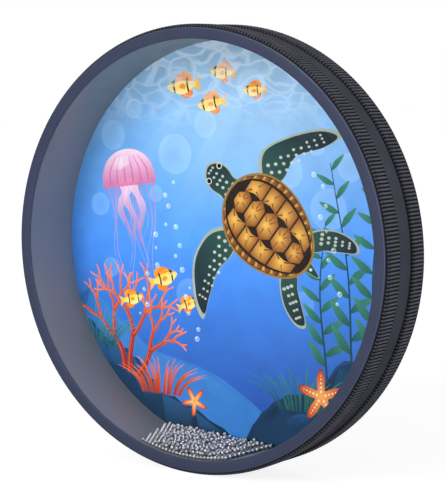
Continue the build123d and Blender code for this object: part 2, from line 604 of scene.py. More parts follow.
def ribbon(points, widths, spans=5):
    """The outline of a strip along a smooth line, with a width at each of its points."""
    line = smooth_line(points, spans, closed=False)
    width = np.interp(np.linspace(0, len(widths) - 1, len(line)), np.arange(len(widths)), widths)
    ahead = np.gradient(line, axis=0)
    ahead /= np.linalg.norm(ahead, axis=1)[:, None]
    side = np.stack((-ahead[:, 1], ahead[:, 0]), axis=1) * width[:, None] / 2
    return np.vstack((line + side, (line - side)[::-1]))


def both_sides(half):
    """A line of points, then its mirror image run back. Points on the middle line come once."""
    return (*half, *((u, -v) for u, v in reversed(half) if v))


def oval(middle, across, up=None, turn=0.0, steps=20):
    """The outline of an ellipse."""
    angles = turns_round(steps)
    return placed(np.stack((across * np.cos(angles), (up or across) * np.sin(angles)), axis=1), middle, turn)


def placed(points, middle, turn=0.0, size=1.0):
    """Points turned by degrees, scaled and moved."""
    ahead = heading(turn)
    points = np.asarray(points, float) * size
    return np.asarray(middle) + points[:, :1] * ahead + points[:, 1:] * beside(ahead)


class Motif(namedtuple("Motif", "middle size turn flip", defaults=(1,))):
    """The place of a motif that is drawn at a size of 1 about its own middle."""

    def put(self, points):
        """Points of the motif, as they lie in the picture."""
        return placed(np.asarray(points, float) * (1, self.flip), self.middle, self.turn, self.size)

    def spot(self, point):
        """One such point."""
        return self.put((point,))[0]

    def strip(self, points, widths, spans=5):
        """A ribbon along points that lie in the picture, with widths in the motif's own size."""
        return ribbon(points, self.size * np.array(widths), spans)


def flat(tint, cover=1.0):
    """Paint of one colour, over what is beneath by a share."""
    return lambda points, under: between(under, tint, cover)


def fade(start, end, first, second, first_cover=1.0, second_cover=1.0):
    """Paint that changes evenly from one point to another."""
    start = np.asarray(start, float)
    way = np.asarray(end, float) - start

    def paint(points, under):
        along = np.clip((points - start) @ way / (way @ way), 0, 1)[:, None]
        return between(under, between(first, second, along), between(first_cover, second_cover, along))

    return paint


def glow(middle, reach, inner, outer, inner_cover=1.0, outer_cover=1.0):
    """Paint that changes from a middle outwards."""

    def paint(points, under):
        away = np.clip(np.linalg.norm(points - np.asarray(middle), axis=1) / reach, 0, 1)[:, None]
        return between(under, between(inner, outer, away), between(inner_cover, outer_cover, away))

    return paint


def on_turtle(along, across):
    """A place on the turtle's back, from shares of its length and of its width there."""
    half = 0.385 * math.sqrt(max(0.0, 1 - along * along)) * (1 + 0.13 * along - 0.05 * along**3)
    return (0.5 * along, across * half)


class SeaPicture:
    """Patches of paint, the last one on top, and the water behind them."""

    def __init__(self, radius, palette, seed=11):
        self.radius = radius
        self.palette = palette
        self.chance = np.random.default_rng(seed)
        self.patches = []

    def add(self, outline, paint):
        """Lay one patch over those before it, with its outline run anticlockwise."""
        outline = np.asarray(outline, float)
        after = np.roll(outline, -1, axis=0)
        area = (outline[:, 0] * after[:, 1] - outline[:, 1] * after[:, 0]).sum()
        self.patches.append((outline if area > 0 else outline[::-1], paint))

    def water(self, points):
        """Colours of the water: darker with depth and to the left, paler near a patch of light."""
        palette = self.palette
        levels = (-0.82, 0.0, 0.52, 0.95)
        tints = np.array((palette.deep, palette.open_water, palette.shallow, palette.surface))
        light_middle, light_reach, light_share = (24.0, 62.0), (78.0, 46.0), 0.30
        shade_start, shade_reach, shade_share = 40.0, 90.0, 0.10
        height = points[:, 1] / self.radius
        colours = np.stack([np.interp(height, levels, tints[:, channel]) for channel in range(3)], axis=1)
        away = np.linalg.norm((points - light_middle) / light_reach, axis=1)[:, None]
        colours += (np.array(palette.light) - colours) * light_share * np.exp(-(away**2))
        left = np.clip((-points[:, :1] - shade_start) / shade_reach, 0, 1)
        return colours * (1 - shade_share * left)

    def ripples(self, points):
        """Where the surface's ripples of light show, most of all at the top."""
        start, reach, strength = 0.50, 0.38, 0.62
        height = points[:, 1] / self.radius
        return np.clip((height - start) / reach, 0, 1) ** 1.3 * strength

    def rays(self):
        """Slanting beams of light."""
        light = self.palette.light
        source = np.array((70.0, 210.0))
        for angle, width, reach, cover in (
            (-152, 3.0, 245, 0.16),
            (-140, 4.2, 270, 0.20),
            (-129, 3.0, 280, 0.15),
            (-118, 4.6, 260, 0.18),
            (-104, 3.4, 240, 0.13),
        ):
            near, far = (source + reach * heading(angle + side * width / 2) for side in (-1, 1))
            self.add((source, near, far), fade(source, (near + far) / 2, light, light, cover, 0.0))

    def haze(self):
        """Soft round discs of light."""
        light = self.palette.light
        for u, v, across in (
            (-86, 62, 9), (-70, 78, 6), (-40, 52, 12), (-18, 70, 8), (-54, 28, 5), (40, 44, 9), (66, 24, 12),
            (58, 60, 6), (80, 48, 8), (-96, 20, 7), (-30, -30, 9), (50, -30, 7), (-88, -18, 6), (14, 92, 10),
        ):
            self.add(oval((u, v), across, steps=28), glow((u, v), across, light, light, 0.10, 0.20))

    def bubbles(self):
        """Strings of small bright bubbles."""
        light = self.palette.light
        for foot, count, lean in (((-66, -46), 11, 0.35), ((-24, -58), 9, -0.30), ((72, -30), 10, -0.2)):
            for step in range(count):
                u = foot[0] + lean * 7 * step + 3.2 * math.sin(step * 1.9)
                v = foot[1] + 8.2 * step + 1.5 * math.cos(step * 2.3)
                across = 0.8 + 1.0 * abs(math.sin(step * 1.3 + foot[0]))
                self.add(oval((u, v), across, steps=14), glow((u, v), across, light, light, 0.18, 0.62))
                shine = (u - across * 0.3, v + across * 0.35)
                self.add(oval(shine, across * 0.28, steps=8), flat(WHITE, 0.9))

    def rock(self, corners, lit, shade, cover=1.0):
        """A rock below a ridge, paler along its top, with facets that lean to or from the light."""
        corners = np.asarray(corners, float)
        ridge = smooth_line(corners, 5, closed=False)
        rough = np.sin(ridge[:, :1] * 0.9) * 0.8 + np.sin(ridge[:, :1] * 2.3 + 1.0) * 0.5
        ridge = ridge + rough * (0.3, 1.0)
        top = ridge[:, 1].max()
        foot = -self.radius - 4
        outline = np.vstack((ridge, (ridge[-1, 0], foot), (ridge[0, 0], foot)))
        self.add(outline, fade((0, top), (0, top - 62), lit, shade, cover, 1.0))
        bright, dull = between(lit, self.palette.shallow, 0.30), between(shade, BLACK, 0.35)
        for index, (start, end) in enumerate(pairwise(corners - (0, 1.5))):
            drop = 17 + 6 * math.sin(index * 2.1 + top)
            facet = (start, end, end + (-5, -0.7 * drop), start + (4, -drop))
            tint = bright if end[1] < start[1] else dull
            self.add(facet, fade((start + end) / 2, (facet[2] + facet[3]) / 2, tint, tint, 0.55 * cover, 0.0))
        return ridge

    def rocks(self):
        """Three ranges of rock, the nearest the darkest, with lit ledges."""
        palette = self.palette
        haze = between(palette.rock_light, palette.open_water, 0.35)
        far_ridge = ((-128, -44), (-104, -30), (-84, -46), (-58, -64), (-20, -74), (16, -92), (44, -118))
        self.rock(far_ridge, haze, haze, 0.75)
        right_ridge = ((4, -126), (18, -100), (38, -84), (58, -80), (74, -62), (92, -56), (126, -30))
        self.rock(right_ridge, between(palette.rock_light, palette.rock_dark, 0.30), palette.rock_dark)
        ridge = self.rock(
            ((-130, -58), (-108, -50), (-92, -62), (-72, -70), (-50, -90), (-26, -98), (0, -112), (22, -126)),
            between(palette.rock_dark, palette.rock_light, 0.35),
            between(palette.rock_dark, BLACK, 0.25),
        )
        ledge = ridge[8:22] - (0, 5.0)
        outline = np.vstack((ledge, (ledge - (3, 7.0))[::-1]))
        self.add(outline, fade(ledge[0], ledge[-1], palette.rock_light, palette.rock_dark, 0.55, 0.1))
        for u, v, across, up in ((46, -98, 9, 4), (70, -84, 10, 5), (86, -72, 6, 3)):
            outline = oval((u, v), across, up, turn=24, steps=16)
            self.add(outline, fade((u, v + up), (u, v - up), palette.rock_light, palette.rock_dark, 0.6, 0.0))

    def kelp(self, foot, reach, lean, size):
        """One stem of kelp with leaves to both sides."""
        palette = self.palette
        leaf = smooth_line(((0, 0), (0.35, 0.16), (0.75, 0.10), (1, 0), (0.70, -0.09), (0.30, -0.10)), 4)
        steps = np.linspace(0, 1, 7)
        sway = np.sin(steps * 4.2 + foot[0]) * 5.0 * steps
        stem = np.stack((foot[0] + lean * steps + sway, foot[1] + reach * steps), axis=1)
        line = smooth_line(stem, 5, closed=False)
        for index in range(3, len(line) - 1, 2):
            root = line[index]
            side = 1 if index % 4 == 1 else -1
            share_up = index / len(line)
            leaf_size = size * (1.15 - 0.55 * share_up)
            turn = 90 - side * (52 + 14 * math.sin(index * 1.7))
            near = between(palette.kelp_dark, palette.kelp_light, 0.15 + 0.4 * share_up)
            paint = fade(root, root + leaf_size * heading(turn), near, palette.kelp_light)
            self.add(placed(leaf, root, turn, leaf_size), paint)
        self.add(ribbon(stem, (1.5, 0.5)), flat(palette.kelp_dark))

    def grass(self, middle, spread, count, reach, foot_colour, tip_colour, width=1.3):
        """A tuft of thin curved blades."""
        for index in range(count):
            side = 2 * (index + 0.5) / count - 1 + self.chance.uniform(-0.08, 0.08)
            tall = reach * (1 - 0.35 * side**2) * self.chance.uniform(0.7, 1.08)
            bend = side * spread * 0.55 + self.chance.uniform(-0.08, 0.08) * reach
            foot_tint = between(foot_colour, tip_colour, self.chance.uniform(0, 0.35))
            foot = np.array((middle[0] + spread * side * 0.45, middle[1]))
            stations = ((0, 0), (0.25, 0.45), (0.7, 0.8), (1.25, 1))
            points = [foot + (bend * over, tall * up) for over, up in stations]
            paint = fade(foot, points[-1], foot_tint, tip_colour)
            self.add(ribbon(points, (width, width * 0.85, width * 0.5, 0.12), 4), paint)

    def coral(self, foot, turn, reach, width, forks):
        """One branch of coral, and the branches that fork from it."""
        palette = self.palette
        foot = np.asarray(foot, float)
        way = heading(turn)
        aside = beside(way)
        end = foot + way * reach
        bend = self.chance.uniform(-0.12, 0.12) * reach
        points = (foot - way * width * 0.3, foot + way * reach * 0.5 + aside * bend, end)
        near, far = (between(palette.coral_dark, palette.coral_light, (step - forks) / 5) for step in (4, 5))
        if forks:
            for fork_turn in (self.chance.uniform(16, 30), -self.chance.uniform(16, 30)):
                shorter = self.chance.uniform(0.66, 0.86)
                self.coral(end, turn + fork_turn, reach * shorter, width * 0.72, forks - 1)
        self.add(ribbon(points, (width, width * 0.82, width * 0.74), 4), fade(foot, end, near, far))
        self.add(oval(end, width * 0.37, steps=10), flat(far))
        light = ribbon(points + aside * width * 0.18, (width * 0.22, width * 0.2, width * 0.16), 4)
        self.add(light, flat(between(far, (1, 0.9, 0.8), 0.35), 0.7))

    def starfish(self, middle, reach, turn):
        """A starfish with rows of pale dots on its arms."""
        palette = self.palette
        angles = turns_round(80)
        arms = 0.30 + 0.70 * ((1 + np.cos(5 * angles)) / 2) ** 1.5
        star = np.stack((np.cos(angles), np.sin(angles)), axis=1) * arms[:, None]
        edge_tint = between(palette.star_dark, palette.seam, 0.45)
        dot_tint = between(palette.star_light, (1, 1, 0.9), 0.6)
        self.add(placed(star, middle, turn, reach * 1.06), flat(edge_tint))
        paint = glow(middle, reach, palette.star_light, palette.star_dark)
        self.add(placed(star, middle, turn, reach), paint)
        for arm in range(5):
            for step, size in ((0.2, 0.055), (0.36, 0.05), (0.52, 0.042), (0.67, 0.034), (0.8, 0.026)):
                dot = placed(((step, 0),), middle, turn + 72 * arm, reach)[0]
                self.add(oval(dot, size * reach, steps=9), flat(dot_tint))

    def fish(self, middle, size, turn, flip=1):
        """A small deep-bodied fish with a striped face and two fins."""
        palette = self.palette
        at = Motif(middle, size, turn, flip)

        def patch(outline, paint, spans=5):
            self.add(at.put(smooth_line(outline, spans)), paint)

        tail = both_sides(((-0.33, 0.05), (-0.46, 0.12), (-0.60, 0.20), (-0.55, 0.0)))
        tail_tip = between(palette.fish_back, palette.light, 0.35)
        patch(tail, fade(*at.put(((-0.36, 0.0), (-0.60, 0.0))), palette.fish_body, tail_tip))
        fin_edge = between(palette.fish_back, palette.fish_body, 0.5)
        fin_paint = fade(*at.put(((-0.05, 0.18), (-0.25, 0.38))), palette.fish_back, fin_edge)
        patch(((0.22, 0.18), (0.06, 0.33), (-0.16, 0.36), (-0.32, 0.26), (-0.28, 0.08)), fin_paint)
        patch(((0.08, -0.20), (-0.06, -0.34), (-0.24, -0.32), (-0.32, -0.20), (-0.26, -0.08)), fin_paint)
        body = ((0.50, 0.0), (0.36, 0.13), (0.14, 0.225), (-0.10, 0.21), (-0.30, 0.09), (-0.40, 0.045))
        belly = between(palette.fish_body, (1, 1, 0.92), 0.55)
        patch(both_sides(body), fade(*at.put(((0.0, 0.25), (0.0, -0.25))), palette.fish_body, belly), 6)
        back = ((0.46, 0.05), (0.14, 0.215), (-0.12, 0.205), (-0.30, 0.085), (-0.10, 0.12), (0.20, 0.12))
        patch(back, flat(palette.fish_back, 0.75))
        face_stripe = (
            (0.30, 0.16), (0.36, 0.11), (0.33, 0.0), (0.30, -0.15), (0.25, -0.17), (0.27, 0.0), (0.24, 0.19),
        )
        patch(face_stripe, flat(palette.fish_stripe, 0.92))
        body_stripe = (
            (-0.18, 0.17), (-0.13, 0.19), (-0.12, 0.0), (-0.15, -0.17), (-0.20, -0.15), (-0.17, 0.0),
        )
        patch(body_stripe, flat(palette.fish_stripe, 0.85))
        side_fin = ((0.12, -0.03), (0.02, 0.05), (-0.08, 0.0), (-0.06, -0.09), (0.04, -0.08))
        patch(side_fin, flat(palette.fish_back, 0.8))
        eye = at.spot((0.315, 0.045))
        self.add(oval(eye, 0.045 * size, steps=12), flat((0.97, 0.97, 0.9)))
        self.add(oval(eye, 0.028 * size, steps=10), flat((0.03, 0.03, 0.05)))

    def jellyfish(self, middle, size, turn):
        """A jellyfish: a ribbed bell, frilled arms and thin trailing threads."""
        palette = self.palette
        pale, deep = palette.jelly_light, palette.jelly_dark
        at = Motif(middle, size, turn)
        for index in range(11):
            down = np.linspace(0, 1, 6)
            start = -0.42 + 0.084 * index
            reach = 1.25 + 0.45 * math.sin(index * 2.1)
            sway = 0.07 * np.sin(down * 6.0 + index * 1.3) * (0.4 + down)
            thread = at.put(np.stack((start * (1 - 0.25 * down) + sway, -0.02 - reach * down), axis=1))
            paint = fade(thread[0], thread[-1], deep, pale, 0.75, 0.35)
            self.add(at.strip(thread, (0.022, 0.014, 0.006)), paint)
        for index, start in enumerate((-0.16, -0.02, 0.14)):
            down = np.linspace(0, 1, 9)
            sway = 0.06 * np.sin(down * 9.0 + index * 2.0)
            arm = at.put(np.stack((start + sway, 0.05 - (0.85 + 0.12 * index) * down), axis=1))
            widths = (0.12, 0.15, 0.10, 0.14, 0.09, 0.10, 0.06, 0.05, 0.01)
            self.add(at.strip(arm, widths), fade(arm[0], arm[-1], pale, deep, 0.85, 0.45))
        bow = np.linspace(0, math.pi, 22)
        dome = [(0.5 * math.cos(angle), 0.50 * math.sin(angle) ** 0.85) for angle in bow]
        waves = enumerate(np.linspace(-0.5, 0.5, 25))
        frill = [(u, -0.035 - 0.035 * math.sin(index * math.pi / 2 + 0.6) ** 2) for index, u in waves]
        self.add(at.put(dome + frill), fade(*at.put(((0.0, 0.5), (0.0, -0.05))), pale, deep, 0.92, 0.88))
        rib_tint = between(deep, (0.6, 0.2, 0.5), 0.3)
        for u in (-0.36, -0.22, -0.07, 0.08, 0.23, 0.37):
            line = at.put(((u, -0.01), (u * 0.92, 0.20), (u * 0.55, 0.40)))
            self.add(at.strip(line, (0.035, 0.03, 0.008)), flat(rib_tint, 0.55))
        shine = (-0.10, 0.31)
        shine_paint = glow(at.spot(shine), 0.2 * size, WHITE, WHITE, 0.55, 0.0)
        self.add(at.put(oval(shine, 0.20, 0.09, turn=18)), shine_paint)

    def turtle(self, middle, size, turn):
        """A sea turtle seen from above, with plated skin and amber scutes."""
        at = Motif(middle, size, turn)
        for side in (1, -1):
            self.flippers(at, side)
        tail = both_sides(((-0.46, 0.05), (-0.58, 0.03), (-0.66, 0.0)))
        self.limb(at, tail, (-0.5, 0), (-0.6, 0), 0.0, 1)
        head = both_sides(((0.42, 0.12), (0.54, 0.115), (0.66, 0.135), (0.77, 0.10), (0.83, 0.0)))
        self.limb(at, head, (0.48, 0.0), (0.80, 0.0), 0.075, 5)
        for side in (1, -1):
            eye = at.spot((0.725, 0.088 * side))
            self.add(oval(eye, 0.030 * size, steps=12), flat(self.palette.skin_light))
            self.add(oval(eye, 0.021 * size, steps=12), flat((0.03, 0.03, 0.04)))
        self.turtle_back(at)

    def limb(self, at, points, start, end, bow, count):
        """One limb of the turtle, with rows of pale plates from start to end."""
        palette = self.palette
        points = np.asarray(points)
        inner = points + (points.mean(axis=0) - points) * 0.10
        self.add(at.put(smooth_line(points, 7)), flat(between(palette.skin_light, palette.skin_dark, 0.25)))
        root, tip = at.put((points[0], points[len(points) // 2]))
        root_tint = between(palette.skin_dark, palette.kelp_light, 0.45)
        self.add(at.put(smooth_line(inner, 7)), fade(root, tip, root_tint, palette.skin_dark))
        way = np.subtract(end, start)
        aside = beside(way) / np.hypot(*way)
        for index in range(count):
            along = (index + 0.5) / count
            spread = bow * (1 - 0.55 * along)
            arch = 0.10 * math.sin(along * math.pi) * bow
            across = 0.020 * (1 - 0.35 * along) * at.size
            for row in (-0.5, 0.5) if index % 2 else (-0.85, 0.0, 0.85):
                plate = at.spot(np.asarray(start) + way * along + aside * (row * spread + arch))
                self.add(oval(plate, across, across * 0.8, steps=9), flat(palette.skin_light, 0.85))

    def flippers(self, at, side):
        """The turtle's fore and hind flipper on one side. The fore one on the right is swept back."""
        mirror = np.array((1, side))
        sweep = 0.0 if side > 0 else 0.10
        fore = (
            (0.20, 0.22), (0.36, 0.30), (0.46, 0.48), (0.42 - sweep, 0.76), (0.20 - sweep, 1.02),
            (0.02 - sweep, 1.10), (0.08 - sweep, 0.92), (0.16, 0.66), (0.14, 0.42),
        )
        self.limb(at, fore * mirror, (0.28, 0.36) * mirror, (0.14 - sweep, 0.98) * mirror, 0.085, 9)
        hind = (
            (-0.34, 0.20), (-0.40, 0.32), (-0.56, 0.44), (-0.74, 0.48),
            (-0.82, 0.42), (-0.70, 0.32), (-0.56, 0.22), (-0.46, 0.12),
        )
        self.limb(at, hind * mirror, (-0.44, 0.26) * mirror, (-0.74, 0.43) * mirror, 0.05, 5)

    def turtle_back(self, at):
        """The turtle's back: a pale edge, and scutes with dark seams between them."""
        palette = self.palette
        back = np.array([on_turtle(math.cos(a), math.copysign(1, math.sin(a))) for a in turns_round(64)])
        self.add(at.put(back * 1.045), flat(between(palette.seam, palette.scute_light, 0.55)))
        self.add(at.put(back), flat(palette.seam))
        for first, last in pairwise((-0.88, -0.52, -0.16, 0.20, 0.54, 0.86)):
            peak = (first + last) / 2
            left = [(last, 0.24), (peak, 0.42), (first, 0.24)]
            self.scute(at, [(first, -0.24), (peak, -0.42), (last, -0.24)] + left)
        for side in (1, -1):
            for first, last in pairwise((-0.84, -0.36, 0.02, 0.38, 0.78)):
                inner = [(first, 0.34 * side), ((first + last) / 2, 0.40 * side), (last, 0.34 * side)]
                self.scute(at, inner + [(last, 0.82 * side), (first, 0.82 * side)], 0.92)
            low, high = 0.86 * side, 0.985 * side
            for first, last in pairwise(np.linspace(-0.95, 0.95, 13)):
                self.scute(at, [(first, low), (last, low), (last, high), (first, high)])

    def scute(self, at, corners, ease=0.90):
        """One scute with dark streaks, its corners given as shares of the turtle's back."""
        palette = self.palette
        edge = []
        for start, end in pairwise(corners + corners[:1]):
            edge += [on_turtle(*between(start, end, step)) for step in (0.0, 1 / 3, 2 / 3)]
        edge = np.array(edge)
        centre = edge.mean(axis=0)
        edge = centre + (edge - centre) * ease
        spot = at.spot(centre + (0.02, 0.0))
        reach = np.linalg.norm(edge - centre, axis=1).max() * at.size
        self.add(at.put(edge), glow(spot, reach, palette.scute_light, palette.scute_dark))
        streak_tint = between(palette.scute_dark, palette.seam, 0.5)
        for step in range(5):
            outer = at.spot(edge[(step * 5 + 1) % len(edge)])
            line = (between(spot, outer, 0.3), between(spot, outer, 0.65), outer)
            self.add(at.strip(line, (0.016, 0.010, 0.004), 2), flat(streak_tint, 0.55))

    def compose(self):
        """Lay out the whole sea scene, from the farthest patch to the nearest."""
        palette = self.palette
        self.rays()
        self.haze()
        self.rocks()
        for foot, reach, lean, size in (
            ((66, -74), 92, -6, 17),
            ((82, -68), 118, -10, 19),
            ((98, -62), 104, -4, 19),
            ((112, -54), 84, -6, 16),
        ):
            self.kelp(foot, reach, lean, size)
        self.grass((50, -92), 34, 22, 26, palette.kelp_dark, palette.kelp_light)
        for foot, turn, reach in (((-78, -78), 112, 19), ((-74, -80), 84, 21), ((-68, -82), 58, 17)):
            self.coral(foot, turn, reach, 4.6, 4)
        hazy_kelp = between(palette.kelp_light, palette.shallow, 0.4)
        self.grass((-98, -66), 30, 20, 24, palette.kelp_dark, hazy_kelp)
        self.grass((-50, -92), 30, 26, 22, palette.coral_dark, palette.coral_light, 1.5)
        self.starfish((62, -82), 15.0, 20)
        self.starfish((-26, -94), 9.0, 50)
        self.jellyfish((-74, 34), 40.0, 8)
        for u, v, size, turn, flip in (
            (-34, 92, 22, 186, -1), (-6, 100, 17, 176, -1), (-14, 82, 19, 190, -1), (16, 90, 15, 182, -1),
            (-48, -22, 20, 20, 1), (-72, -36, 16, 14, 1), (-30, -36, 15, 24, 1),
        ):
            self.fish((u, v), size, turn, flip)
        self.turtle((26, 12), 66.0, 142)
        self.bubbles()

    def triangles(self, step):
        """Points, triangles and the patches over each triangle, for the whole round picture."""
        rim = oval((0, 0), self.radius, steps=240)
        grid = np.arange(-self.radius, self.radius, step)
        u, v = (axis.ravel() for axis in np.meshgrid(grid, grid))
        inside = np.hypot(u, v) < self.radius - step / 2
        points = [rim, np.stack((u, v), axis=1)[inside]]
        count = sum(map(len, points))
        outlines = [list(range(len(rim)))]
        for outline, _ in self.patches:
            outlines.append(list(range(count, count + len(outline))))
            points.append(outline)
            count += len(outline)
        spots = [Vector(spot) for spot in np.vstack(points)]
        whole_hull, closest = 0, 1e-4
        made = geometry.delaunay_2d_cdt(spots, [], outlines, whole_hull, closest, True)
        spots, _, faces, _, _, overlaps = made
        kept = [(face, over) for face, over in zip(faces, overlaps) if 0 in over]
        used, faces = np.unique([face for face, _ in kept], return_inverse=True)
        spots = np.array([tuple(spot) for spot in spots])
        return spots[used], faces.reshape(-1, 3), [over for _, over in kept]

    def painted(self, step):
        """Points and triangles, with a colour and a ripple share at each triangle's corners."""
        spots, faces, over = self.triangles(step)
        corners = spots[faces]
        colours = self.water(corners.reshape(-1, 2)).reshape(-1, 3, 3)
        beneath = [[] for _ in self.patches]
        for face, patches in enumerate(over):
            for patch in patches:
                if patch:
                    beneath[patch - 1].append(face)
        for (_, paint), chosen in zip(self.patches, beneath):
            if chosen:
                under = colours[chosen].reshape(-1, 3)
                colours[chosen] = paint(corners[chosen].reshape(-1, 2), under).reshape(-1, 3, 3)
        ripple = self.ripples(corners.reshape(-1, 2)).reshape(-1, 3)
        return spots, faces, np.clip(colours, 0, 1), ripple


# Pieces


def rim_section(ring, outward):
    """A flat ring's section, with its rounded edges on the side that faces outward along the axis."""
    sizes = settings("sizes")
    face, inside = (ring.front, ring.back) if outward < 0 else (ring.back, ring.front)
    return eased(
        (
            (ring.inner, face, sizes.rim_inner_ease),
            (ring.outer, face, sizes.rim_ease),
            (ring.outer, inside, 0),
            (ring.inner, inside, 0),
        )
    )


def wrap_section(ring):
    """The smooth strip's section, a little crowned between its rounded edges."""
    sizes = settings("sizes")
    edge = ring.outer - sizes.wrap_crown
    middle = (ring.front + ring.back) / 2
    half = (ring.back - ring.front) / 2
    crown = [
        (edge + sizes.wrap_crown * (1 - share_out**2), middle + half * share_out)
        for share_out in np.linspace(-0.92, 0.92, 9)
    ]
    ends = eased(
        (
            (ring.inner, ring.front, 0),
            (edge, ring.front, sizes.wrap_ease),
            (edge, ring.back, sizes.wrap_ease),
            (ring.inner, ring.back, 0),
        )
    )
    cut = len(ends) // 2
    return ends[:cut] + crown + ends[cut:]


def band_shape(ring):
    """Points, faces and painted highlight shares of a band whose ribs die out on its rounded edges.

    A row of its section has a radius, a depth, the way that it faces (away from the axis and along it),
    and the shares of the ribs' depth and of their painted crest highlight that it shows.
    """
    sizes = settings("sizes")
    ease = sizes.band_ease
    low = ring.outer - ease
    height = low - ring.inner
    # Up the flat side: no ribs, and their painted highlight and shade come in slowly
    half = [(ring.inner + height * up, ring.front, 0.0, -1.0, 0.0, 0.7 * up) for up in (0.0, 0.35, 0.7)]
    # Over the rounded edge: the ribs rise late, and half of their painted highlight and shade is there from
    # the start
    for angle in np.linspace(0, math.pi / 2, 7):
        lift, out = math.sin(angle), math.cos(angle)
        shares = (0.3 * lift**6, 0.55 + 0.2 * lift**2)
        half.append((low + ease * lift, ring.front + ease * (1 - out), lift, -out, *shares))
    # Just past the edge: whole ribs
    half.append((ring.outer, ring.front + 1.3 * ease, 1.0, 0.0, 1.0, 1.0))
    both_edges = ring.front + ring.back
    other = [(radius, both_edges - depth, lift, -out, *shares) for radius, depth, lift, out, *shares in half]
    radius, depth, lift, out, ribbed, crest_highlight = np.array(half + other[::-1]).T
    steps = sizes.rib_count * sizes.rib_steps
    turns = turns_round(steps)
    # Under 1, so that the crests are wider than the grooves
    crest_power = 0.6
    crest = ((0.5 + 0.5 * np.cos(turns * sizes.rib_count)) ** crest_power)[:, None]
    sunk = sizes.rib_depth * (1 - crest) * ribbed
    points = round_the_axis(turns, radius - sunk * lift, depth - sunk * out)
    return points, loop_faces(steps, len(radius)), (crest * crest_highlight).ravel()


def sheet_shape(radius, front, back):
    """Points and faces of a round film with two faces and a thin rim."""
    steps = settings("sizes").turned_steps
    reaches = radius * np.array((0.1, 0.3, 0.5, 0.7, 0.85, 0.95, 1.0))
    reach = np.concatenate((reaches, reaches[::-1]))
    depth = np.repeat((front, back), len(reaches))
    points = round_the_axis(turns_round(steps), reach, depth)
    columns = len(reach)
    faces = loop_faces(steps, columns).reshape(steps, columns, 4)[:, :-1].reshape(-1, 4).tolist()
    rows = np.arange(steps) * columns
    return points, faces + [rows.tolist(), (rows[::-1] + columns - 1).tolist()]


def bead_places(node):
    """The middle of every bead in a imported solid, and the beads' radius."""
    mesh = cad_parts[node].data
    same_digits = 7
    points, welded = np.unique(np.round(node_points(node), same_digits), axis=0, return_inverse=True)
    ends = np.empty(2 * len(mesh.edges), dtype=np.int32)
    mesh.edges.foreach_get("vertices", ends)
    first, second = welded.ravel()[ends].reshape(-1, 2).T
    group = np.arange(len(points))
    while True:
        lowest = np.minimum(group[first], group[second])
        grown = group.copy()
        np.minimum.at(grown, first, lowest)
        np.minimum.at(grown, second, lowest)
        grown = grown[grown]
        if np.array_equal(grown, group):
            break
        group = grown
    low, high = [], []
    for label in np.unique(group):
        bead = points[group == label]
        low.append(bead.min(axis=0))
        high.append(bead.max(axis=0))
    low, high = np.array(low), np.array(high)
    return (low + high) / 2, (high - low).max() / 2


def beads_shape(node):
    """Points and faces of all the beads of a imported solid."""
    middles, radius = bead_places(node)
    ball = bmesh.new()
    bmesh.ops.create_icosphere(ball, subdivisions=3, radius=radius)
    one = np.array([tuple(corner.co) for corner in ball.verts])
    sides = np.array([[corner.index for corner in face.verts] for face in ball.faces])
    ball.free()
    points = (middles[:, None, :] + one[None]).reshape(-1, 3)
    starts = np.arange(len(middles))[:, None, None] * len(one)
    return points, (starts + sides[None]).reshape(-1, 3)


class OCEANDRUM_OT_shell(Operator):
    """Turn the shell and the smooth strip round it"""

    bl_idname = "ocean_drum.shell"
    bl_label = "Shell and Wrap"

    def execute(self, context):
        """Make both turned pieces."""
        ring = ring_of("shell")
        ease = settings("sizes").shell_ease
        corners = (
            (ring.inner, ring.front, ease),
            (ring.outer, ring.front, ease),
            (ring.outer, ring.back, ease),
            (ring.inner, ring.back, ease),
        )
        shell = new_piece("drum_shell", *turned_shape(eased(corners)))
        fit(shell, "shell", "drum", shell_finish())
        wrap = new_piece("smooth_side_wrap", *turned_shape(wrap_section(ring_of("side_wrap"))))
        fit(wrap, "side_wrap", "drum", wrap_finish())
        return {"FINISHED"}


class OCEANDRUM_OT_rims(Operator):
    """Turn the flat ring on each side of the drum, and give the tape under it its finish"""

    bl_idname = "ocean_drum.rims"
    bl_label = "Rim Rings and Tapes"

    def execute(self, context):
        """Make the two rings and give the two tapes their finish."""
        plastic = rim_finish()
        tape = tape_finish()
        opening_highlight = 0.5
        for place, outward in (("front", -1), ("rear", 1)):
            node = place + "_rim_ring"
            span = ring_of(node)
            points, faces = turned_shape(rim_section(span, outward))
            ring = new_piece(place + "_navy_ring", points, faces)
            face = span.front if outward < 0 else span.back
            reach = reach_of(points)
            # Painted highlight: a paler colour over the rounded outer edge, and half of it on the face of the
            # opening
            inset = np.maximum(span.outer - reach, np.abs(points[:, 1] - face)) / settings("sizes").rim_ease
            edge_highlight = np.clip(1 - inset, 0, 1)
            carry(ring.data, "rim_edge", np.where(reach < span.inner + HAIR, opening_highlight, edge_highlight))
            fit(ring, node, "drum", plastic)
            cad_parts[place + "_head_tape"].material_slots[0].material = tape
        return {"FINISHED"}


class OCEANDRUM_OT_bands(Operator):
    """Make the two ribbed rubber bands"""

    bl_idname = "ocean_drum.bands"
    bl_label = "Ribbed Bands"

    def execute(self, context):
        """Make one band from each imported band."""
        rubber = band_finish()
        for place in ("front", "rear"):
            node = place + "_ribbed_band"
            points, faces, crest = band_shape(ring_of(node))
            band = new_piece(place + "_rubber_band", points, faces, crease=75)
            # The share of the painted crest highlight, which the band finish reads
            carry(band.data, "rib_crest", crest)
            fit(band, node, "drum", rubber)
        return {"FINISHED"}


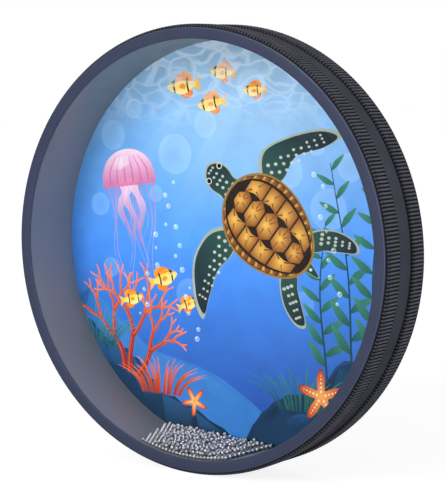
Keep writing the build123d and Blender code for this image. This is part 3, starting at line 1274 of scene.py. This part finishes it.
class OCEANDRUM_OT_clear_head(Operator):
    """Make the clear film at the front"""

    bl_idname = "ocean_drum.clear_head"
    bl_label = "Clear Head"

    def execute(self, context):
        """Make the film."""
        ring = ring_of("clear_front_head")
        film = new_piece("clear_film_head", *sheet_shape(ring.outer, ring.front, ring.back))
        fit(film, "clear_front_head", "drum", film_finish())
        return {"FINISHED"}


class OCEANDRUM_OT_printed_head(Operator):
    """Make the printed film at the rear, with the sea picture on both of its faces"""

    bl_idname = "ocean_drum.printed_head"
    bl_label = "Printed Head"

    def execute(self, context):
        """Paint the picture and make the film from its triangles."""
        ring = ring_of("printed_rear_head")
        picture = SeaPicture(ring.outer / MM, settings("palette"))
        picture.compose()
        spots, faces, colours, ripple = picture.painted(settings("sizes").picture_step / MM)
        rim = self.rim_of(spots)
        mesh = self.film(ring, spots, faces, rim)
        self.paint(mesh, picture, spots[self.wall_corners(rim)].reshape(-1, 2), colours, ripple)
        self.unfold(mesh, picture, spots, faces, rim)
        head = linked("printed_film_head", mesh)
        fit(head, "printed_rear_head", "drum", print_finish())
        return {"FINISHED"}

    def rim_of(self, spots):
        """Points on the edge of the film, in order round it."""
        slack = 1e-3
        reach = np.hypot(*spots.T)
        rim = np.flatnonzero(reach > reach.max() - slack)
        return rim[np.argsort(np.arctan2(spots[rim, 1], spots[rim, 0]))]

    def wall_corners(self, rim, back=0):
        """Corners of the faces along the film's edge, with the rear ones further on by back."""
        after = np.roll(rim, -1)
        return np.stack((rim, rim + back, after + back, after), axis=1)

    def film(self, ring, spots, faces, rim):
        """The mesh of the film: its front, its back and its edge."""
        count = len(spots)
        sides = [
            np.stack((spots[:, 0] * MM, np.full(count, depth), AXIS_HEIGHT + spots[:, 1] * MM), axis=1)
            for depth in (ring.front, ring.back)
        ]
        walls = self.wall_corners(rim, count)
        mesh = bpy.data.meshes.new("printed_film_head")
        all_faces = faces.tolist() + (faces[:, ::-1] + count).tolist() + walls.tolist()
        mesh.from_pydata(np.vstack(sides), [], all_faces)
        smoothed(mesh)
        return mesh

    def paint(self, mesh, picture, wall_spots, colours, ripple):
        """Let the mesh carry the picture, the same on its front and its back."""
        fronts, backs = (tints.reshape(-1, 3) for tints in (colours, colours[:, ::-1]))
        tints = linear(np.vstack((fronts, backs, picture.water(wall_spots))))
        painted = mesh.attributes.new("print_colour", "FLOAT_COLOR", "CORNER")
        painted.data.foreach_set("color", np.column_stack((tints, np.ones(len(tints)))).ravel())
        shine = np.concatenate((ripple.ravel(), ripple[:, ::-1].ravel(), np.zeros(len(wall_spots))))
        carry(mesh, "print_ripple", shine, "CORNER")

    def unfold(self, mesh, picture, spots, faces, rim):
        """Lay the film flat for baking, with its edge as a narrow strip round the picture."""
        strip_width, map_reach = 1.02, 1.05 * picture.radius
        stretch = np.array((1, strip_width, strip_width, 1))[:, None]
        wall_map = spots[self.wall_corners(rim)] * stretch
        parts = (spots[faces], spots[faces[:, ::-1]], wall_map)
        flat_map = np.vstack([part.reshape(-1, 2) for part in parts])
        places = 0.5 + flat_map / (2 * map_reach)
        mesh.uv_layers.new(name="OFBake").data.foreach_set("uv", places.ravel())


class OCEANDRUM_OT_beads(Operator):
    """Make the loose steel beads"""

    bl_idname = "ocean_drum.beads"
    bl_label = "Beads"

    def execute(self, context):
        """Make the first layer and the heap on it."""
        steel = steel_finish()
        for node, name, body in (
            ("rim_beads", "steel_beads_on_shell", "rolling_beads"),
            ("heaped_beads", "steel_beads_heaped", "washing_beads"),
        ):
            fit(new_piece(name, *beads_shape(node), crease=180), node, body, steel)
        return {"FINISHED"}


class OCEANDRUM_OT_studio(Operator):
    """Set up the floor, the light and the camera"""

    bl_idname = "ocean_drum.studio"
    bl_label = "Studio"

    def execute(self, context):
        """Make the stage."""
        studio = settings("studio")
        scene = context.scene
        scene.view_settings.view_transform = "Standard"
        self.floor(studio)
        self.sky(scene, studio)
        for lamp in LAMPS:
            self.lamp(lamp, getattr(studio, lamp.name))
        camera = linked("camera", bpy.data.cameras.new("camera"))
        camera.data.lens = studio.lens
        self.aim(camera, studio.camera_place, studio.camera_aim)
        scene.camera = camera
        return {"FINISHED"}

    def aim(self, thing, place, target):
        """Put a lamp or the camera in its place and turn it to a target."""
        thing.location = place
        way = Vector(target) - Vector(place)
        thing.rotation_euler = way.to_track_quat("-Z", "Y").to_euler()

    def seen_rays(self, tree):
        """A value of 1 for rays from the camera, straight or through the film, and 0 for others."""
        path = tree.nodes.new("ShaderNodeLightPath")
        seen = tree.nodes.new("ShaderNodeMath")
        seen.operation = "MAXIMUM"
        tree.links.new(path.outputs["Is Camera Ray"], seen.inputs[0])
        tree.links.new(path.outputs["Is Transmission Ray"], seen.inputs[1])
        return seen.outputs["Value"]

    def floor(self, studio):
        """A wide pale floor that is lifted to the white of the backdrop where nothing shades it."""
        half, near, far = 4.0, 0.3, 1.6
        points = [(x * half, y * half, CAD_LOW.z) for x, y in ((-1, -1), (1, -1), (1, 1), (-1, 1))]
        mesh = bpy.data.meshes.new("studio_floor")
        mesh.from_pydata(points, [], [(0, 1, 2, 3)])
        floor = linked("studio_floor", mesh)
        finish = Finish("pale_floor")
        reach = finish.node("ShaderNodeVectorMath", operation="LENGTH")
        finish.link(finish.place, reach.inputs[0])
        lift = finish.span(reach.outputs["Value"], studio.floor_lift, studio.far_lift, near, far)
        finish.set(
            Base_Color=shader_colour(studio.floor),
            Roughness=0.9,
            Specular_IOR_Level=0.1,
            Emission_Color=(*WHITE, 1),
            Emission_Strength=finish.times(self.seen_rays(finish.tree), lift),
        )
        mesh.materials.append(finish.material)

    def sky(self, scene, studio):
        """An even sky: plain light for the surfaces, white where it is seen."""
        world = bpy.data.worlds.new("studio_sky")
        scene.world = world
        world.use_nodes = True
        tree = world.node_tree
        back = tree.nodes["Background"]
        back.inputs["Color"].default_value = (*WHITE, 1)
        level = tree.nodes.new("ShaderNodeMapRange")
        level.inputs["To Min"].default_value = studio.sky
        level.inputs["To Max"].default_value = 1.0
        tree.links.new(self.seen_rays(tree), level.inputs["Value"])
        tree.links.new(level.outputs["Result"], back.inputs["Strength"])

    def lamp(self, lamp, watts):
        """A soft square lamp that faces the middle of the drum."""
        light = bpy.data.lights.new(lamp.name + "_light", "AREA")
        light.size = lamp.size
        light.energy = watts
        made = linked(lamp.name + "_light", light)
        made.visible_camera = False
        made.visible_glossy = lamp.in_gloss
        made.visible_diffuse = lamp.on_matte
        self.aim(made, lamp.place, (0, 0, AXIS_HEIGHT))


GROUPS = {"sizes": DrumSizes, "finishes": DrumFinishes, "palette": SeaPalette, "studio": StudioSetup}
OPERATORS = (
    OCEANDRUM_OT_shell,
    OCEANDRUM_OT_rims,
    OCEANDRUM_OT_bands,
    OCEANDRUM_OT_clear_head,
    OCEANDRUM_OT_printed_head,
    OCEANDRUM_OT_beads,
    OCEANDRUM_OT_studio,
)


class OCEANDRUM_PT_panel(Panel):
    """The drum's pieces and their settings"""

    bl_label = "Ocean Drum"
    bl_idname = "OCEANDRUM_PT_panel"
    bl_space_type = "VIEW_3D"
    bl_region_type = "UI"
    bl_category = "Ocean Drum"

    def draw(self, context):
        """List the operators, then the settings of each group."""
        for operator in OPERATORS:
            self.layout.operator(operator.bl_idname)
        for name, group in GROUPS.items():
            box = self.layout.box()
            for key in group.__annotations__:
                box.prop(getattr(context.scene, "ocean_drum_" + name), key)


def register():
    """Add the classes and the settings to Blender."""
    for group in GROUPS.values():
        bpy.utils.register_class(group)
    for name, group in GROUPS.items():
        setattr(bpy.types.Scene, "ocean_drum_" + name, PointerProperty(type=group))
    for listed in (*OPERATORS, OCEANDRUM_PT_panel):
        bpy.utils.register_class(listed)


def unregister():
    """Take the classes and the settings out of Blender."""
    for listed in (OCEANDRUM_PT_panel, *reversed(OPERATORS)):
        bpy.utils.unregister_class(listed)
    for name, group in GROUPS.items():
        delattr(bpy.types.Scene, "ocean_drum_" + name)
        bpy.utils.unregister_class(group)


def main():
    """Build the drum, its finishes and the studio."""
    register()
    bpy.ops.ocean_drum.shell()
    bpy.ops.ocean_drum.rims()
    bpy.ops.ocean_drum.bands()
    bpy.ops.ocean_drum.clear_head()
    bpy.ops.ocean_drum.printed_head()
    bpy.ops.ocean_drum.beads()
    bpy.ops.ocean_drum.studio()


if __name__ == "__main__":
    main()
